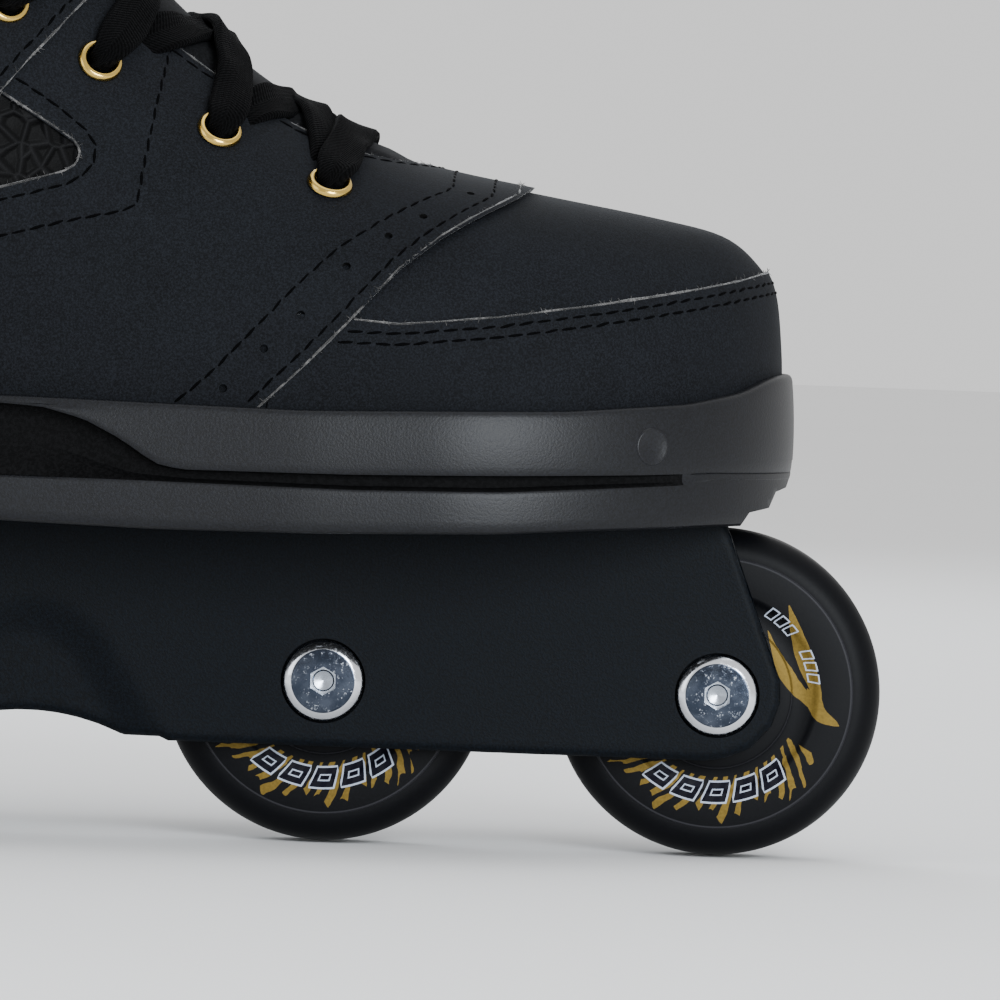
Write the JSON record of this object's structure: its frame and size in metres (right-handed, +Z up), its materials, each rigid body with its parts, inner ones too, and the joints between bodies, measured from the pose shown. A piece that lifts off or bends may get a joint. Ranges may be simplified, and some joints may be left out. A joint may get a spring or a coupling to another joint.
{
  "type": "inline skate",
  "caption": "Aggressive inline skate for the right foot: laced nubuck boot with a hinged plastic cuff and strap, on a soul plate and a channel frame with wheels in one line.",
  "frame": {"origin": "on the ground, midway between the outer wheels, in the plane of the wheels", "axes": "+X towards the toe, -Y the skate's outer side, +Z up"},
  "size_m": [0.312, 0.1082, 0.27],
  "materials": {
    "frame_black": "matte black with a fine mould grain",
    "nylon": "satin nylon",
    "zinc": "zinc plated",
    "sole_plastic": "satin dark grey plastic",
    "foam": "soft foam",
    "nubuck": "matte nubuck, near black",
    "lining": "textile lining over foam",
    "tongue_nubuck": "padded nubuck and mesh",
    "lace_weave": "flat woven polyester",
    "gold_brass": "polished gold colour",
    "chrome": "polished",
    "bearing_steel": "ground steel",
    "cage_nylon": "blue nylon",
    "urethane": "satin black urethane",
    "webbing": "ribbed webbing",
    "cuff_plastic": "satin black plastic"
  },
  "bodies": {
    "chassis": {"frame": "frame_black", "groove_block": "nylon", "frame_bolts": "zinc", "frame_washers": "zinc", "sole_t_nuts": "zinc", "soulplate": "sole_plastic", "sole_screws": "zinc", "shock_pad": "foam", "insole": "foam", "upper": "nubuck", "foot_lining": "lining", "tongue": "tongue_nubuck", "laces": "lace_weave", "eyelets": "gold_brass", "axle_bolts": "chrome", "axle_barrels": "chrome", "bearing_inner_races": "bearing_steel", "bearing_balls": "bearing_steel", "bearing_cages": "cage_nylon", "bearing_spacers": "bearing_steel", "cuff_screws": "chrome", "cuff_nuts": "zinc"},
    "wheel_1": {"tyre_1": "urethane", "core_1": "nylon", "outer_races_1": "bearing_steel", "shields_1": "bearing_steel"},
    "wheel_2": {"tyre_2": "urethane", "core_2": "nylon", "outer_races_2": "bearing_steel", "shields_2": "bearing_steel"},
    "wheel_3": {"tyre_3": "urethane", "core_3": "nylon", "outer_races_3": "bearing_steel", "shields_3": "bearing_steel"},
    "wheel_4": {"tyre_4": "urethane", "core_4": "nylon", "outer_races_4": "bearing_steel", "shields_4": "bearing_steel"},
    "cuff_body": {"cuff": "cuff_plastic", "shaft": "nubuck", "collar_pad": "lining", "tongue_top": "tongue_nubuck", "laces_top": "lace_weave", "eyelets_top": "gold_brass", "pull_loop": "webbing", "strap": "cuff_plastic", "strap_rivets": "chrome", "buckle_base": "cuff_plastic", "buckle_pin": "chrome", "release_pin": "chrome"},
    "lever_body": {"buckle_lever": "cuff_plastic"},
    "release_body": {"release_tab": "cuff_plastic"}
  },
  "joints": [
    {"name": "wheel_1_spin", "type": "hinge", "parent": "chassis", "child": "wheel_1", "pos_m": [0.126, 0, 0.03], "axis": [0, 1, 0], "continuous": true},
    {"name": "wheel_2_spin", "type": "hinge", "parent": "chassis", "child": "wheel_2", "pos_m": [0.054, 0, 0.03], "axis": [0, 1, 0], "continuous": true},
    {"name": "wheel_3_spin", "type": "hinge", "parent": "chassis", "child": "wheel_3", "pos_m": [-0.054, 0, 0.03], "axis": [0, 1, 0], "continuous": true},
    {"name": "wheel_4_spin", "type": "hinge", "parent": "chassis", "child": "wheel_4", "pos_m": [-0.126, 0, 0.03], "axis": [0, 1, 0], "continuous": true},
    {"name": "cuff_flex", "type": "hinge", "parent": "chassis", "child": "cuff_body", "pos_m": [-0.068, 0, 0.14], "axis": [0, 1, 0], "range_deg": [0, 12], "stiffness_Nm_per_rad": 8},
    {"name": "buckle_lever_swing", "type": "hinge", "parent": "cuff_body", "child": "lever_body", "pos_m": [-0.04, -0.0514, 0.204], "axis": [0, 0, 1], "range_deg": [0, 75], "stiffness_Nm_per_rad": 0.02, "springref_deg": -5.73},
    {"name": "release_tab_lift", "type": "hinge", "parent": "cuff_body", "child": "release_body", "pos_m": [-0.033, -0.0502, 0.204], "axis": [0, 0, 1], "range_deg": [-30, 0], "stiffness_Nm_per_rad": 0.01, "springref_deg": 5.73}
  ]
}
